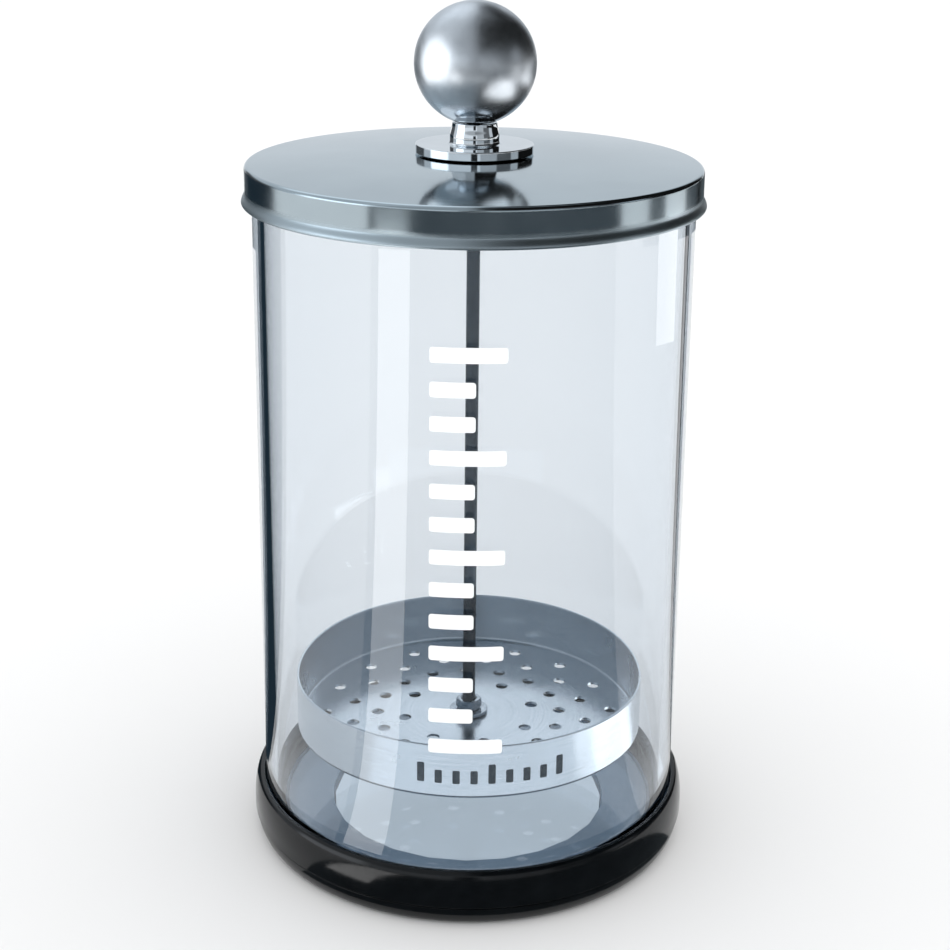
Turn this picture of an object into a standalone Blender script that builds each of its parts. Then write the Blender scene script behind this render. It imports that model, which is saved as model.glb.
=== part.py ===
"""Disinfectant jar: a glass cylinder in a rubber foot ring, with a metal lid.

A ball knob on the lid carries a rod, and a perforated tray hangs on the rod's
lower end. The lid stands on the glass rim, so knob, lid and tray lift out as one.

Metres, +Z up. The origin is the centre of the foot ring's underside.
"""
import math

import bmesh
import bpy

# Driving dimensions
GLASS_R = 0.0650
GLASS_WALL = 0.0035
GLASS_BASE = 0.0084
GLASS_HEEL_R = 0.0045
GLASS_WELL_R = 0.0060
LID_EDGE_Z = 0.2124
LID_CROWN = 0.0027
ROD_R = 0.0020
BALL_R = 0.0177
TRAY_R = 0.0546
TRAY_RIM_Z = 0.0521
TRAY_FLOOR_Z = 0.0355

# Room between touching pieces
GAP = 0.0003

# Foot ring
RING_H = 0.0176
RING_LIP_T = 0.0030
RING_OPEN_R = 0.0434
RING_FOOT_R = 0.0644
RING_MAX_R = 0.0686
RING_MAX_Z = 0.0094
RING_TOP_T = 0.0011
RING_TOP_EDGE_W = 0.0004
RING_EDGE = 0.0006
RING_BULGE_START = 84
RING_GROOVE_Z = 0.0062
RING_GROOVE_W = 0.0008
RING_GROOVE_TOP_INSET = 0.0002
RING_GROOVE_BED_INSET = 0.0010
RING_GROOVE_FOOT_INSET = 0.0005
RING_FOOT_INSET = 0.0007
RING_FOOT_DROP = 0.0003
RING_FOOT_START = -14

# Lid
LID_SHEET = 0.0008
LID_TOP_R = 0.0669
LID_HEM_R = 0.0679
LID_SKIRT_Z = 0.2015
LID_CORNER_R = 0.0013
LID_FLARE_H = 0.0032
LID_FLARE_POWER = 1.6
LID_CORNER_START = 68
LID_RIM_ROOM = 0.0001
CLEARANCE_HOLE_R = ROD_R + GAP

# Knob: a ball on a turned neck with a round flange
BALL_SEAT_R = 0.0062
FLANGE_R = 0.0173
FLANGE_T = 0.0025
FLANGE_EDGE = 0.0003
NECK_TOP_R = 0.0066
NECK_TOP_EDGE_H = 0.0004
NECK_WAIST_R = 0.0067
NECK_WAIST_SHARE = 0.55
NECK_SWELL_R = 0.0071
NECK_SWELL_SHARE = 0.22
NECK_FOOT_R = 0.0073
NECK_BLEND_R = 0.0007
NECK_H = 0.0062

# Rod: how far its ends lie under the ball's centre and under the tray floor
ROD_CHAMFER = 0.0004
ROD_UNDER_BALL = 0.0040
ROD_UNDER_TRAY = 0.0066

# Tray
TRAY_SHEET = 0.0008
TRAY_CORNER_R = 0.0018
TRAY_RIM_EDGE = 0.0002
HOLE_R = 0.0020
FIRST_RING_R = 0.0208
RING_PITCH = 0.00833
RING_COUNTS = (8, 16, 16, 16)
RING_TURN = math.radians(2.5)
RING_HALF_STEP = math.radians(11.25)

# M4 nuts and washers
NUT_FLATS = 0.0070
NUT_H = 0.0032
NUT_CHAMFER = 0.0006
NUT_CHAMFER_RISE = 0.00045
NUT_CHAMFER_RUN = 0.00033
WASHER_R = 0.0060
WASHER_T = 0.0010
WASHER_EDGE = 0.00015
CAP_NUT_H = 0.0080
CAP_DOME_R = 0.00325
CAP_DOME_OVERLAP = 0.0005

# Sides of a turned piece
FINE = 48
MEDIUM = 32
COARSE = 20
HOLE_SIDES = 10

# How far a cutter reaches past the metal it cuts
CUT_PAST = 0.0010

# Heights that follow from the sizes above
GLASS_BOTTOM_Z = RING_LIP_T + GAP
GLASS_RIM_Z = LID_EDGE_Z - LID_SHEET - LID_RIM_ROOM
LID_CENTRE_Z = LID_EDGE_Z + LID_CROWN
FLANGE_Z = LID_CENTRE_Z + GAP
NECK_Z = FLANGE_Z + FLANGE_T
BALL_Z = NECK_Z + NECK_H + GAP + math.sqrt(BALL_R ** 2 - BALL_SEAT_R ** 2)
ROD_TOP_Z = BALL_Z - ROD_UNDER_BALL
ROD_BOTTOM_Z = TRAY_FLOOR_Z - ROD_UNDER_TRAY


def clear_scene():
    for obj in list(bpy.data.objects):
        bpy.data.objects.remove(obj, do_unlink=True)


def new_collection(name):
    group = bpy.data.collections.new(name)
    bpy.context.scene.collection.children.link(group)
    return group


def make_material(name, colour, roughness, metallic, transmission=0.0):
    material = bpy.data.materials.new(name)
    material.use_nodes = True
    shader = material.node_tree.nodes["Principled BSDF"]
    shader.inputs["Base Color"].default_value = (*colour, 1.0)
    shader.inputs["Roughness"].default_value = roughness
    shader.inputs["Metallic"].default_value = metallic
    shader.inputs["Transmission Weight"].default_value = transmission
    material.diffuse_color = (*colour, 1.0)
    return material


def add_object(name, mesh, group, material=None):
    obj = bpy.data.objects.new(name, mesh)
    group.objects.link(obj)
    if material:
        mesh.materials.append(material)
    return obj


def arc(centre, radius, start, end, steps):
    """Points on a circle in the RZ plane, angles in degrees from +R towards +Z."""
    points = []
    for step in range(steps + 1):
        angle = math.radians(start + (end - start) * step / steps)
        points.append((centre[0] + radius * math.cos(angle), centre[1] + radius * math.sin(angle)))
    return points


def oval(centre, semi_r, semi_z, start, end, steps):
    """Points on an ellipse in the RZ plane, angles in degrees from +R towards +Z."""
    points = []
    for step in range(steps + 1):
        angle = math.radians(start + (end - start) * step / steps)
        points.append((centre[0] + semi_r * math.cos(angle), centre[1] + semi_z * math.sin(angle)))
    return points


def turned(name, profile, sides, group, material=None, closed=False):
    """Turns an RZ profile about Z. The profile runs down its outer side."""
    mesh = bpy.data.meshes.new(name)
    count = len(profile)
    edges = [(index, index + 1) for index in range(count - 1)]
    if closed:
        edges.append((count - 1, 0))
    mesh.from_pydata([(r, 0.0, z) for r, z in profile], edges, [])
    obj = add_object(name, mesh, group, material)
    screw = obj.modifiers.new("Turn", "SCREW")
    screw.axis = "Z"
    screw.angle = math.tau
    screw.steps = sides
    screw.render_steps = sides
    screw.use_merge_vertices = True
    screw.merge_threshold = 0.00001
    screw.use_smooth_shade = True
    return obj


def hex_prism(name, flats, height, group, material=None):
    """A hexagonal prism standing on its origin, with a flat towards +Y."""
    mesh = bpy.data.meshes.new(name)
    bm = bmesh.new()
    corner_r = flats / 2 / math.cos(math.radians(30))
    bmesh.ops.create_cone(bm, cap_ends=True, segments=6, radius1=corner_r, radius2=corner_r, depth=height)
    bmesh.ops.translate(bm, verts=bm.verts, vec=(0, 0, height / 2))
    bm.to_mesh(mesh)
    bm.free()
    return add_object(name, mesh, group, material)


def boolean(obj, cutter, operation):
    step = obj.modifiers.new(cutter.name, "BOOLEAN")
    step.operation = operation
    step.object = cutter
    step.solver = "EXACT"


def make_helper(obj):
    obj.hide_render = True
    obj.display_type = "WIRE"
    return obj


def rod_hole(name, radius, low, high, group):
    """A cutter for a round hole on the axis."""
    return make_helper(turned(name, [(0, high), (radius, high), (radius, low), (0, low)], COARSE, group))


def lid_top_z(radius):
    """Height of the lid's crowned top at a radius, on an arc through crown and edge."""
    flat_r = LID_TOP_R - LID_CORNER_R
    sphere_r = (flat_r ** 2 + LID_CROWN ** 2) / (2 * LID_CROWN)
    return LID_CENTRE_Z - sphere_r + math.sqrt(sphere_r ** 2 - radius ** 2)


def build_foot_ring(group, material):
    """Moulded ring: a lip under the glass, a wall round its heel and a bulging outside."""
    inner_r = GLASS_R + GAP
    heel_r = GLASS_HEEL_R + GAP
    bulge_h = RING_H - RING_MAX_Z
    top_r = inner_r + RING_TOP_T
    profile = [(inner_r, RING_H - RING_EDGE), (inner_r + RING_TOP_EDGE_W, RING_H)]
    profile += oval((top_r, RING_MAX_Z), RING_MAX_R - top_r, bulge_h, RING_BULGE_START, 0, 6)
    half = RING_GROOVE_W / 2
    profile.append((RING_MAX_R - RING_GROOVE_TOP_INSET, RING_GROOVE_Z + half))
    profile.append((RING_MAX_R - RING_GROOVE_BED_INSET, RING_GROOVE_Z))
    profile.append((RING_MAX_R - RING_GROOVE_FOOT_INSET, RING_GROOVE_Z - half))
    foot_z = RING_GROOVE_Z - half - RING_FOOT_DROP
    foot_w = RING_MAX_R - RING_FOOT_INSET - RING_FOOT_R
    profile += oval((RING_FOOT_R, foot_z), foot_w, foot_z, RING_FOOT_START, -90, 4)
    profile += [(RING_OPEN_R + RING_EDGE, 0.0), (RING_OPEN_R, RING_EDGE), (RING_OPEN_R, RING_LIP_T)]
    centre = (inner_r - heel_r, RING_LIP_T + heel_r)
    profile += arc(centre, heel_r, -90, 0, 4)
    return turned("foot_ring", profile, FINE, group, material, closed=True)


def build_glass(group, material):
    """Straight tumbler with a heavy bottom, a rounded heel and a fire-polished rim."""
    rim_r = GLASS_WALL / 2
    inner_r = GLASS_R - GLASS_WALL
    floor_z = GLASS_BOTTOM_Z + GLASS_BASE
    profile = [(0, floor_z)]
    profile += arc((inner_r - GLASS_WELL_R, floor_z + GLASS_WELL_R), GLASS_WELL_R, -90, 0, 4)
    profile += arc((GLASS_R - rim_r, GLASS_RIM_Z - rim_r), rim_r, 180, 0, 6)
    profile += arc((GLASS_R - GLASS_HEEL_R, GLASS_BOTTOM_Z + GLASS_HEEL_R), GLASS_HEEL_R, 0, -90, 4)
    profile.append((0, GLASS_BOTTOM_Z))
    return turned("glass_jar", profile, FINE, group, material)


def build_lid(group, material):
    """Pressed sheet: a crowned top with a hole for the rod and a skirt that flares at its edge."""
    flat_r = LID_TOP_R - LID_CORNER_R
    steps = 5
    profile = []
    for step in range(steps + 1):
        radius = CLEARANCE_HOLE_R + (flat_r - CLEARANCE_HOLE_R) * step / steps
        profile.append((radius, lid_top_z(radius)))
    profile += arc((flat_r, LID_EDGE_Z - LID_CORNER_R), LID_CORNER_R, LID_CORNER_START, 0, 3)
    flare_top = LID_SKIRT_Z + LID_FLARE_H
    flare = LID_HEM_R - LID_TOP_R
    steps = 3
    for step in range(steps + 1):
        share = step / steps
        profile.append((LID_TOP_R + flare * share ** LID_FLARE_POWER, flare_top - LID_FLARE_H * share))
    lid = turned("lid", profile, FINE, group, material)
    solidify = lid.modifiers.new("Sheet", "SOLIDIFY")
    solidify.thickness = LID_SHEET
    solidify.offset = -1.0
    solidify.use_even_offset = True
    return lid


def build_collar(group, material):
    """Turned neck on a flange, bored for the rod, dished on top to seat the ball."""
    profile = [
        (CLEARANCE_HOLE_R, NECK_Z + NECK_H),
        (BALL_SEAT_R, NECK_Z + NECK_H),
        (NECK_TOP_R, NECK_Z + NECK_H - NECK_TOP_EDGE_H),
        (NECK_WAIST_R, NECK_Z + NECK_H * NECK_WAIST_SHARE),
        (NECK_SWELL_R, NECK_Z + NECK_H * NECK_SWELL_SHARE),
    ]
    profile += arc((NECK_FOOT_R + NECK_BLEND_R, NECK_Z + NECK_BLEND_R), NECK_BLEND_R, 180, 270, 3)
    profile += [
        (FLANGE_R - FLANGE_EDGE, NECK_Z),
        (FLANGE_R, NECK_Z - FLANGE_EDGE),
        (FLANGE_R, FLANGE_Z + FLANGE_EDGE),
        (FLANGE_R - FLANGE_EDGE, FLANGE_Z),
        (CLEARANCE_HOLE_R, FLANGE_Z),
    ]
    return turned("knob_collar", profile, MEDIUM, group, material, closed=True)


def build_ball(group, material):
    """Ball with a small flat where it sits on the collar and a blind hole for the rod."""
    seat_angle = -math.degrees(math.acos(BALL_SEAT_R / BALL_R))
    seat_z = BALL_Z + BALL_R * math.sin(math.radians(seat_angle))
    hole_top = ROD_TOP_Z + GAP
    profile = arc((0, BALL_Z), BALL_R, 90, seat_angle, 16)
    profile[0] = (0, BALL_Z + BALL_R)
    profile += [(CLEARANCE_HOLE_R, seat_z), (CLEARANCE_HOLE_R, hole_top), (0, hole_top)]
    return turned("knob_ball", profile, MEDIUM, group, material)


def build_rod(group, material):
    profile = [
        (0, ROD_TOP_Z),
        (ROD_R - ROD_CHAMFER, ROD_TOP_Z),
        (ROD_R, ROD_TOP_Z - ROD_CHAMFER),
        (ROD_R, ROD_BOTTOM_Z + ROD_CHAMFER),
        (ROD_R - ROD_CHAMFER, ROD_BOTTOM_Z),
        (0, ROD_BOTTOM_Z),
    ]
    return turned("rod", profile, COARSE, group, material)


def build_washer(name, top_z, group, material):
    low = top_z - WASHER_T
    profile = [
        (CLEARANCE_HOLE_R, top_z),
        (WASHER_R - WASHER_EDGE, top_z),
        (WASHER_R, top_z - WASHER_EDGE),
        (WASHER_R, low + WASHER_EDGE),
        (WASHER_R - WASHER_EDGE, low),
        (CLEARANCE_HOLE_R, low),
    ]
    return turned(name, profile, COARSE, group, material, closed=True)


def build_nut(name, low_z, group, helpers, material):
    """Hexagon nut: a prism trimmed by a chamfer cone at each end, then bored."""
    flat_r = NUT_FLATS / 2
    trim_r = flat_r / math.cos(math.radians(30)) + NUT_CHAMFER
    drop = NUT_CHAMFER_RISE + NUT_CHAMFER_RUN
    nut = hex_prism(name, NUT_FLATS, NUT_H, group, material)
    nut.location.z = low_z
    profile = [
        (0, NUT_H),
        (flat_r, NUT_H),
        (trim_r, NUT_H - drop),
        (trim_r, drop),
        (flat_r, 0),
        (0, 0),
    ]
    trim = turned(name + "_trim", profile, COARSE, helpers)
    trim.location.z = low_z
    boolean(nut, make_helper(trim), "INTERSECT")
    bore = rod_hole(name + "_bore", CLEARANCE_HOLE_R, low_z - CUT_PAST, low_z + NUT_H + CUT_PAST, helpers)
    boolean(nut, bore, "DIFFERENCE")
    return nut


def build_cap_nut(top_z, group, helpers, material):
    """Domed nut with its open end up, closing the rod's lower end."""
    low = top_z - CAP_NUT_H
    nut = hex_prism("tray_cap_nut", NUT_FLATS, NUT_H, group, material)
    nut.location.z = top_z - NUT_H
    dome_top_z = top_z - CAP_DOME_OVERLAP
    profile = [(0, dome_top_z), (CAP_DOME_R, dome_top_z)]
    profile += arc((0, low + CAP_DOME_R), CAP_DOME_R, 0, -90, 5)[:-1]
    profile.append((0, low))
    dome = turned("cap_nut_dome", profile, COARSE, helpers)
    boolean(nut, make_helper(dome), "UNION")
    bore = rod_hole("cap_nut_bore", CLEARANCE_HOLE_R, ROD_BOTTOM_Z - GAP, top_z + CUT_PAST, helpers)
    boolean(nut, bore, "DIFFERENCE")
    return nut


def drain_hole_centres():
    """Rings of holes round the tray floor, each ring turned half a hole from the last."""
    centres = []
    for ring, count in enumerate(RING_COUNTS):
        radius = FIRST_RING_R + ring * RING_PITCH
        half_step = RING_HALF_STEP if ring % 2 == 0 else 0.0
        for index in range(count):
            angle = RING_TURN + half_step + math.tau * index / count
            centres.append((radius * math.cos(angle), radius * math.sin(angle)))
    return centres


def build_tray(group, helpers, material):
    """Drawn sheet tray with a hole for the rod and rings of drain holes."""
    corner = TRAY_CORNER_R
    under_z = TRAY_FLOOR_Z - TRAY_SHEET
    shoulder_z = TRAY_RIM_Z - TRAY_RIM_EDGE
    profile = [(TRAY_R - TRAY_SHEET, shoulder_z), (TRAY_R - TRAY_SHEET / 2, TRAY_RIM_Z), (TRAY_R, shoulder_z)]
    profile += arc((TRAY_R - corner, under_z + corner), corner, 0, -90, 4)
    profile += [(CLEARANCE_HOLE_R, under_z), (CLEARANCE_HOLE_R, TRAY_FLOOR_Z)]
    inner = corner - TRAY_SHEET
    profile += arc((TRAY_R - corner, TRAY_FLOOR_Z + inner), inner, -90, 0, 3)
    tray = turned("tray", profile, FINE, group, material, closed=True)
    punches = bpy.data.meshes.new("tray_punches")
    bm = bmesh.new()
    punch_h = TRAY_SHEET + 2 * CUT_PAST
    for x, y in drain_hole_centres():
        punch = bmesh.ops.create_cone(
            bm, cap_ends=True, segments=HOLE_SIDES, radius1=HOLE_R, radius2=HOLE_R, depth=punch_h)
        bmesh.ops.translate(bm, verts=punch["verts"], vec=(x, y, TRAY_FLOOR_Z - TRAY_SHEET / 2))
    bm.to_mesh(punches)
    bm.free()
    boolean(tray, make_helper(add_object("tray_punches", punches, helpers)), "DIFFERENCE")
    return tray


def main():
    clear_scene()
    group = new_collection("disinfectant_jar")
    helpers = new_collection("cutters")
    helpers.hide_render = True

    rubber = make_material("black_rubber", (0.012, 0.013, 0.014), 0.28, 0.0)
    glass = make_material("clear_glass", (0.93, 0.96, 0.97), 0.0, 0.0, 1.0)
    sheet = make_material("polished_steel", (0.62, 0.66, 0.69), 0.08, 1.0)
    satin = make_material("satin_chrome", (0.66, 0.69, 0.72), 0.32, 1.0)
    chrome = make_material("bright_chrome", (0.80, 0.82, 0.84), 0.04, 1.0)
    brushed = make_material("brushed_steel", (0.60, 0.64, 0.67), 0.25, 1.0)
    bolt = make_material("bolt_steel", (0.40, 0.43, 0.46), 0.22, 1.0)

    build_foot_ring(group, rubber)
    build_glass(group, glass)
    build_lid(group, sheet)
    build_collar(group, chrome)
    build_ball(group, satin)
    build_rod(group, bolt)
    under_lid_z = LID_CENTRE_Z - LID_SHEET - GAP
    build_washer("lid_washer", under_lid_z, group, bolt)
    build_nut("lid_nut", under_lid_z - WASHER_T - GAP - NUT_H, group, helpers, bolt)
    build_tray(group, helpers, brushed)
    build_washer("tray_top_washer", TRAY_FLOOR_Z + GAP + WASHER_T, group, bolt)
    build_nut("tray_top_nut", TRAY_FLOOR_Z + 2 * GAP + WASHER_T, group, helpers, bolt)
    under_tray_z = TRAY_FLOOR_Z - TRAY_SHEET - GAP
    build_washer("tray_bottom_washer", under_tray_z, group, bolt)
    build_cap_nut(under_tray_z - WASHER_T - GAP, group, helpers, bolt)


main()
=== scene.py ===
"""Looks of the disinfectant jar: glass cylinder, polished lid with a ball knob, and a hanging tray.

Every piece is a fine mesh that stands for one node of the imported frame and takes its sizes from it.
"""
import math

import bmesh
import bpy
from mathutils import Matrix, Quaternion, Vector


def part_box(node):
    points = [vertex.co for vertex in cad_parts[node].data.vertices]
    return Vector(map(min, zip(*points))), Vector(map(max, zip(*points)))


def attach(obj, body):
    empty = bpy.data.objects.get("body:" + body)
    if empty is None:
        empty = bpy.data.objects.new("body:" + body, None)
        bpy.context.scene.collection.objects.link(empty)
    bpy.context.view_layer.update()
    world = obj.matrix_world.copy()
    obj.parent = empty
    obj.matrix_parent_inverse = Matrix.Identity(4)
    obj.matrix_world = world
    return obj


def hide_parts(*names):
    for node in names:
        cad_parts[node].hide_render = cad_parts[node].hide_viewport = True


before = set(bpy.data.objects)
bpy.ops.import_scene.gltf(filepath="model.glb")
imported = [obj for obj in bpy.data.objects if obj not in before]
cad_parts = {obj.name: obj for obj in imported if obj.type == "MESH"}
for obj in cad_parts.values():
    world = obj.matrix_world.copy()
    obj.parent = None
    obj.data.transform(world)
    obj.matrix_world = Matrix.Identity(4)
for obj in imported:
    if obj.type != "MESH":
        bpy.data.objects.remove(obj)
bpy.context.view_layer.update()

MM = 0.001
SIDES = 256
SMALL_SIDES = 96

# Sockets of a Mix node that is set to colours
MIX_A, MIX_B, MIX_RESULT = 6, 7, 2

# Sizes that the frame's boxes don't show, in metres
GLASS_WALL = 3.5 * MM
GLASS_BASE = 8.4 * MM
GLASS_HEEL_R = 4.5 * MM
GLASS_WELL_R = 6.0 * MM
RING_OPEN_R = 43.4 * MM
RING_LIP_T = 3.0 * MM
LID_SHEET = 0.8 * MM
LID_TOP_R = 66.9 * MM
LID_CROWN = 2.7 * MM
LID_EDGE_R = 1.3 * MM
LID_FLARE_H = 3.2 * MM
NECK_TOP_R = 6.6 * MM
NECK_FOOT_R = 7.3 * MM
FLANGE_T = 2.5 * MM
BALL_R = 17.7 * MM
TRAY_SHEET = 0.8 * MM
TRAY_CORNER_R = 1.8 * MM
HOLE_R = 2.0 * MM
HOLE_RINGS = ((20.80 * MM, 8, 0.5), (29.13 * MM, 16, 0.0), (37.46 * MM, 16, 0.5), (45.79 * MM, 16, 0.0))
HOLE_TURN = math.radians(2.5)
BORE_R = 2.3 * MM
THREAD_PITCH = 0.7 * MM
THREAD_DEPTH = 0.32 * MM
NUT_FLATS = 7.0 * MM
NUT_HEIGHT = 3.2 * MM
CAP_DOME_R = 3.25 * MM
CAP_BORE_DEPTH = 6.5 * MM
RING_GAP = 0.3 * MM
RING_WIDEST_Z = 9.4 * MM
RING_FOOT_R = 64.4 * MM
GROOVE_Z = 6.2 * MM
PRINT_T = 0.09 * MM
ETCH_T = 0.05 * MM

# Refraction, what glass absorbs, (1 - tint) * density per metre, and what its shadow lets through
RUBBER_IOR = INK_IOR = GLASS_IOR = 1.5
GLASS_TINT = (0.0, 0.22, 0.42, 1.0)
GLASS_DENSITY = 40.0
GLASS_SHADOW = (0.90, 0.94, 0.96, 1.0)


# ---------------------------------------------------------------- mesh tools

def arc(centre, radius, start, end, steps=10):
    """(r, z) points on a circle, angles in degrees from +R towards +Z."""
    points = []
    for step in range(steps + 1):
        angle = math.radians(start + (end - start) * step / steps)
        points.append((centre[0] + radius * math.cos(angle), centre[1] + radius * math.sin(angle)))
    return points


def oval(centre, semi_r, semi_z, start, end, steps=16):
    """(r, z) points on an ellipse, angles in degrees from +R towards +Z."""
    points = []
    for step in range(steps + 1):
        angle = math.radians(start + (end - start) * step / steps)
        points.append((centre[0] + semi_r * math.cos(angle), centre[1] + semi_z * math.sin(angle)))
    return points


def add_mesh(name, bm, sharp=32):
    """Object from a bmesh: doubles welded, faces pointing out, edges sharp above an angle in degrees."""
    bmesh.ops.remove_doubles(bm, verts=bm.verts, dist=1e-6)
    bmesh.ops.dissolve_degenerate(bm, edges=bm.edges, dist=1e-7)
    bmesh.ops.recalc_face_normals(bm, faces=bm.faces)
    mesh = bpy.data.meshes.new(name)
    bm.to_mesh(mesh)
    bm.free()
    mesh.shade_smooth()
    mesh.set_sharp_from_angle(angle=math.radians(sharp))
    obj = bpy.data.objects.new(name, mesh)
    bpy.context.scene.collection.objects.link(obj)
    return obj


def revolved(name, profile_at, sides=SIDES, closed=False, sharp=32):
    """A surface round Z. profile_at(angle) gives its (r, z) points at an angle, always as many."""
    bm = bmesh.new()
    columns = []
    for side in range(sides):
        angle = math.tau * side / sides
        column = []
        for radius, height in profile_at(angle):
            column.append(bm.verts.new((radius * math.sin(angle), -radius * math.cos(angle), height)))
        columns.append(column)
    rows = len(columns[0])
    for side, column in enumerate(columns):
        other = columns[(side + 1) % sides]
        for row in range(rows if closed else rows - 1):
            below = (row + 1) % rows
            bm.faces.new((column[row], other[row], other[below], column[below]))
    return add_mesh(name, bm, sharp)


def with_edge_loops(profile, closed, near=0.12 * MM):
    """Adds a point close to each end of every long run, so that smooth shading leaves the run straight."""
    count = len(profile)
    result = []
    for index in range(count if closed else count - 1):
        start, end = profile[index], profile[(index + 1) % count]
        result.append(start)
        length = math.dist(start, end)
        if length > 5 * near:
            for share in (near / length, 1 - near / length):
                result.append(tuple(a + (b - a) * share for a, b in zip(start, end)))
    return result if closed else result + [profile[-1]]


def turned(name, profile, sides=SIDES, closed=False, sharp=32):
    """One profile turned round Z."""
    looped = with_edge_loops(profile, closed)
    return revolved(name, lambda angle: looped, sides, closed, sharp)


def wall_patch(bm, radius, thickness, angle, height, half_width, half_height, corner):
    """A thin plate with round corners, bent round Z onto a cylinder. Angle 0 faces -Y."""
    outline = []
    for sign_x, sign_z, start in ((1, 1, 0), (-1, 1, 90), (-1, -1, 180), (1, -1, 270)):
        for step in range(5):
            turn = math.radians(start + 90 * step / 4)
            outline.append((sign_x * (half_width - corner) + corner * math.cos(turn),
                            sign_z * (half_height - corner) + corner * math.sin(turn)))
    columns = 12
    stations = [-half_width + 2 * half_width * index / columns for index in range(columns + 1)]

    def reach(x):
        """Half of the plate's height at x."""
        inside = abs(x) - (half_width - corner)
        if inside <= 0:
            return half_height
        return half_height - corner + math.sqrt(max(corner ** 2 - inside ** 2, 0))

    stations = sorted(set(stations + [point[0] for point in outline]))
    layers = []
    for r in (radius, radius + thickness):
        layer = []
        for x in stations:
            turn = angle + x / radius
            ends = []
            for z in (height - reach(x), height + reach(x)):
                ends.append(bm.verts.new((r * math.sin(turn), -r * math.cos(turn), z)))
            layer.append(ends)
        layers.append(layer)
    inner, outer = layers
    for i in range(len(stations) - 1):
        bm.faces.new((outer[i][0], outer[i + 1][0], outer[i + 1][1], outer[i][1]))
        bm.faces.new((inner[i][0], inner[i][1], inner[i + 1][1], inner[i + 1][0]))
        for end in (0, 1):
            bm.faces.new((inner[i][end], inner[i + 1][end], outer[i + 1][end], outer[i][end]))
    for i in (0, len(stations) - 1):
        bm.faces.new((inner[i][0], outer[i][0], outer[i][1], inner[i][1]))


# ---------------------------------------------------------------- material tools

class Shader:
    """Builds one material's nodes. Constants sit on the Principled sockets; patterns are linked."""

    def __init__(self, name, colour, roughness, metallic=0.0, ior=None):
        self.material = bpy.data.materials.new(name)
        self.material.use_nodes = True
        self.nodes = self.material.node_tree.nodes
        self.links = self.material.node_tree.links
        self.bsdf = self.nodes["Principled BSDF"]
        self.bsdf.inputs["Base Color"].default_value = (*colour, 1.0)
        self.bsdf.inputs["Roughness"].default_value = roughness
        self.bsdf.inputs["Metallic"].default_value = metallic
        if ior:
            self.bsdf.inputs["IOR"].default_value = ior
        self.place = self.nodes.new("ShaderNodeTexCoord").outputs["Object"]
        self.bumped = None

    def math(self, operation, *values):
        node = self.nodes.new("ShaderNodeMath")
        node.operation = operation
        for socket, value in zip(node.inputs, values):
            if isinstance(value, bpy.types.NodeSocket):
                self.links.new(value, socket)
            else:
                socket.default_value = value
        return node.outputs[0]

    def stretched(self, scale):
        node = self.nodes.new("ShaderNodeMapping")
        self.links.new(self.place, node.inputs["Vector"])
        node.inputs["Scale"].default_value = scale
        return node.outputs[0]

    def along(self):
        """The x, y and z of a place on the piece."""
        parts = self.nodes.new("ShaderNodeSeparateXYZ")
        self.links.new(self.place, parts.inputs[0])
        return parts.outputs

    def radius(self):
        """Distance from the axis."""
        x, y, _ = self.along()
        return self.math("SQRT", self.math("ADD", self.math("POWER", x, 2.0), self.math("POWER", y, 2.0)))

    def turned_place(self, radial, upward, around=0.0):
        """Coordinates that run along the radius, up the axis and slowly round it, for lathe marks."""
        x, _, z = self.along()
        joined = self.nodes.new("ShaderNodeCombineXYZ")
        self.links.new(self.math("MULTIPLY", self.radius(), radial), joined.inputs[0])
        self.links.new(self.math("MULTIPLY", z, upward), joined.inputs[1])
        if around:
            self.links.new(self.math("MULTIPLY", x, around), joined.inputs[2])
        return joined.outputs[0]

    def noise(self, scale, detail=4.0, place=None, rough=0.55):
        node = self.nodes.new("ShaderNodeTexNoise")
        node.inputs["Scale"].default_value = scale
        node.inputs["Detail"].default_value = detail
        node.inputs["Roughness"].default_value = rough
        self.links.new(place or self.place, node.inputs["Vector"])
        return node.outputs["Fac"]

    def ranged(self, value, low, high, source_low=0.3, source_high=0.7):
        node = self.nodes.new("ShaderNodeMapRange")
        self.links.new(value, node.inputs["Value"])
        node.inputs["From Min"].default_value = source_low
        node.inputs["From Max"].default_value = source_high
        node.inputs["To Min"].default_value = low
        node.inputs["To Max"].default_value = high
        return node.outputs["Result"]

    def roughness(self, value):
        self.links.new(value, self.bsdf.inputs["Roughness"])

    def tint(self, value, low, high, source_low=0.3, source_high=0.7):
        """Base colour between two colours by a pattern."""
        ramp = self.nodes.new("ShaderNodeValToRGB")
        ramp.color_ramp.elements[0].position = source_low
        ramp.color_ramp.elements[0].color = (*low, 1.0)
        ramp.color_ramp.elements[1].position = source_high
        ramp.color_ramp.elements[1].color = (*high, 1.0)
        self.links.new(value, ramp.inputs[0])
        self.links.new(ramp.outputs[0], self.bsdf.inputs["Base Color"])

    def painted_light_inside(self, radius, colour):
        """Painted light: a paler colour inside a radius, over the colour made so far."""
        made = self.bsdf.inputs["Base Color"].links[0].from_socket
        node = self.nodes.new("ShaderNodeMix")
        node.data_type = "RGBA"
        inside = self.ranged(self.radius(), 1.0, 0.0, radius - 0.4 * MM, radius)
        self.links.new(inside, node.inputs["Factor"])
        self.links.new(made, node.inputs[MIX_A])
        node.inputs[MIX_B].default_value = (*colour, 1.0)
        self.links.new(node.outputs[MIX_RESULT], self.bsdf.inputs["Base Color"])

    def bump(self, value, distance, strength=1.0):
        node = self.nodes.new("ShaderNodeBump")
        node.inputs["Distance"].default_value = distance
        node.inputs["Strength"].default_value = strength
        self.links.new(value, node.inputs["Height"])
        if self.bumped:
            self.links.new(self.bumped, node.inputs["Normal"])
        self.bumped = node.outputs["Normal"]
        self.links.new(self.bumped, self.bsdf.inputs["Normal"])


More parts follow.
